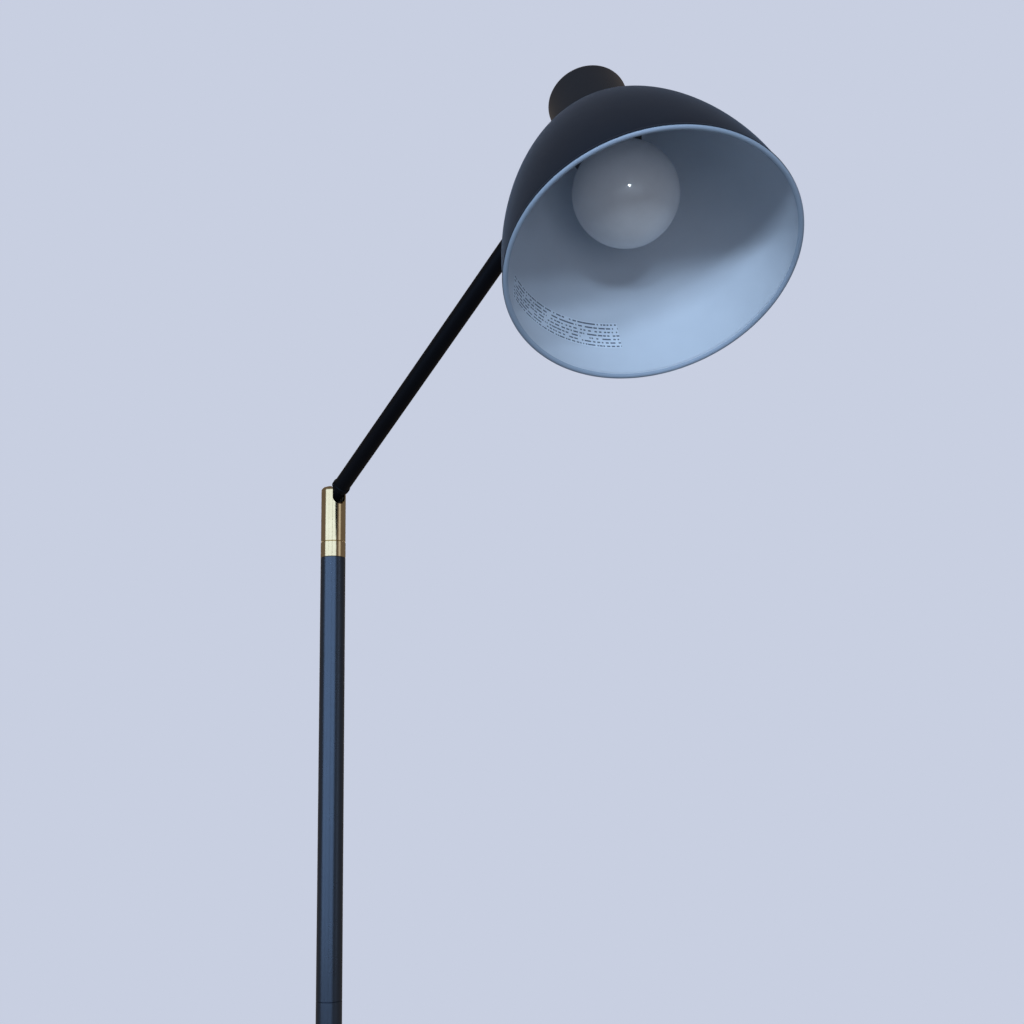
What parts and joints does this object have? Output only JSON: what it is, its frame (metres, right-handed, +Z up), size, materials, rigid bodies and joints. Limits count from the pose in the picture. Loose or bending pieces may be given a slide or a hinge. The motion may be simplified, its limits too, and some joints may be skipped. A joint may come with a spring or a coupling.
{
  "type": "adjustable arm floor lamp",
  "caption": "Floor lamp with a round weighted base, slim pole, brass swivel head, hinged straight arm and a dome shade that turns about the arm.",
  "frame": {"origin": "centre of the base's underside, on the floor", "axes": "+Z up, +X the way the arm leans at rest, +Y along the elbow hinge"},
  "size_m": [0.5884, 0.254, 1.5903],
  "materials": {
    "black_metal": "satin black powder coat",
    "arm_metal": "matt black powder coat",
    "shade_metal": "matt black outside, white enamel inside",
    "brass": "polished",
    "steel": "zinc plated",
    "contact_metal": "plain",
    "iron": "as cast",
    "felt": "felt",
    "black_plastic": "matte",
    "white_plastic": "nylon",
    "cable": "insulated flexible lead",
    "label_film": "printed film without lettering",
    "bulb_glass": "frosted white"
  },
  "bodies": {
    "stand": {"base_pad": "felt", "base_weight": "iron", "base_cover": "black_metal", "base_washer": "steel", "base_nut": "steel", "base_nipple": "steel", "cord_bush": "black_plastic", "pole_foot_collar": "black_metal", "pole_foot_insert": "steel", "pole_section_1": "black_metal", "pole_section_2": "black_metal", "pole_section_3": "black_metal", "pole_section_4": "black_metal", "pole_joiner_1": "steel", "pole_joiner_2": "steel", "pole_joiner_3": "steel", "swivel_collar": "brass", "swivel_stem": "steel", "stem_wave_washer": "steel", "stem_nut": "steel", "lead_stand": "cable"},
    "head": {"swivel_head": "brass", "head_bearing_ring": "brass", "elbow_screw": "brass", "friction_washers": "black_plastic", "lead_head": "cable"},
    "arm": {"arm_fitting": "arm_metal", "arm_tube": "arm_metal", "arm_end_bush": "arm_metal", "lead_arm": "cable"},
    "shade": {"swivel_stud": "steel", "stud_retainer": "steel", "thrust_washer": "white_plastic", "cup_boss": "black_metal", "cup_saddle_washer": "steel", "stud_nut": "steel", "socket_cup": "black_metal", "holder_bracket": "steel", "bracket_screws": "black_metal", "holder_screws": "steel", "lamp_holder": "black_plastic", "holder_screw_shell": "contact_metal", "holder_contact": "brass", "shade_ring": "black_plastic", "shade_shell": "shade_metal", "rating_label": "label_film", "bulb_globe": "bulb_glass", "bulb_cap": "contact_metal", "bulb_contact": "contact_metal", "switch_body": "black_plastic", "switch_nut": "steel", "lead_cup": "cable"},
    "knob": {"switch_spindle": "steel", "switch_knob": "black_plastic"}
  },
  "joints": [
    {"name": "head_pan", "type": "hinge", "parent": "stand", "child": "head", "pos_m": [0, 0, 1.371], "axis": [0, 0, 1], "range_deg": [-170, 170]},
    {"name": "elbow", "type": "hinge", "parent": "head", "child": "arm", "pos_m": [0, 0, 1.371], "axis": [0, 1, 0], "range_deg": [-149.4, 30.6]},
    {"name": "shade_turn", "type": "hinge", "parent": "arm", "child": "shade", "pos_m": [0.31391, 0, 1.55665], "axis": [0.8607, 0, 0.509], "range_deg": [-154.6, 175.4]},
    {"name": "switch_turn", "type": "hinge", "parent": "shade", "child": "knob", "pos_m": [0.29859, 0.00552, 1.58255], "axis": [-0.5007, 0.1805, 0.8466], "continuous": true}
  ]
}
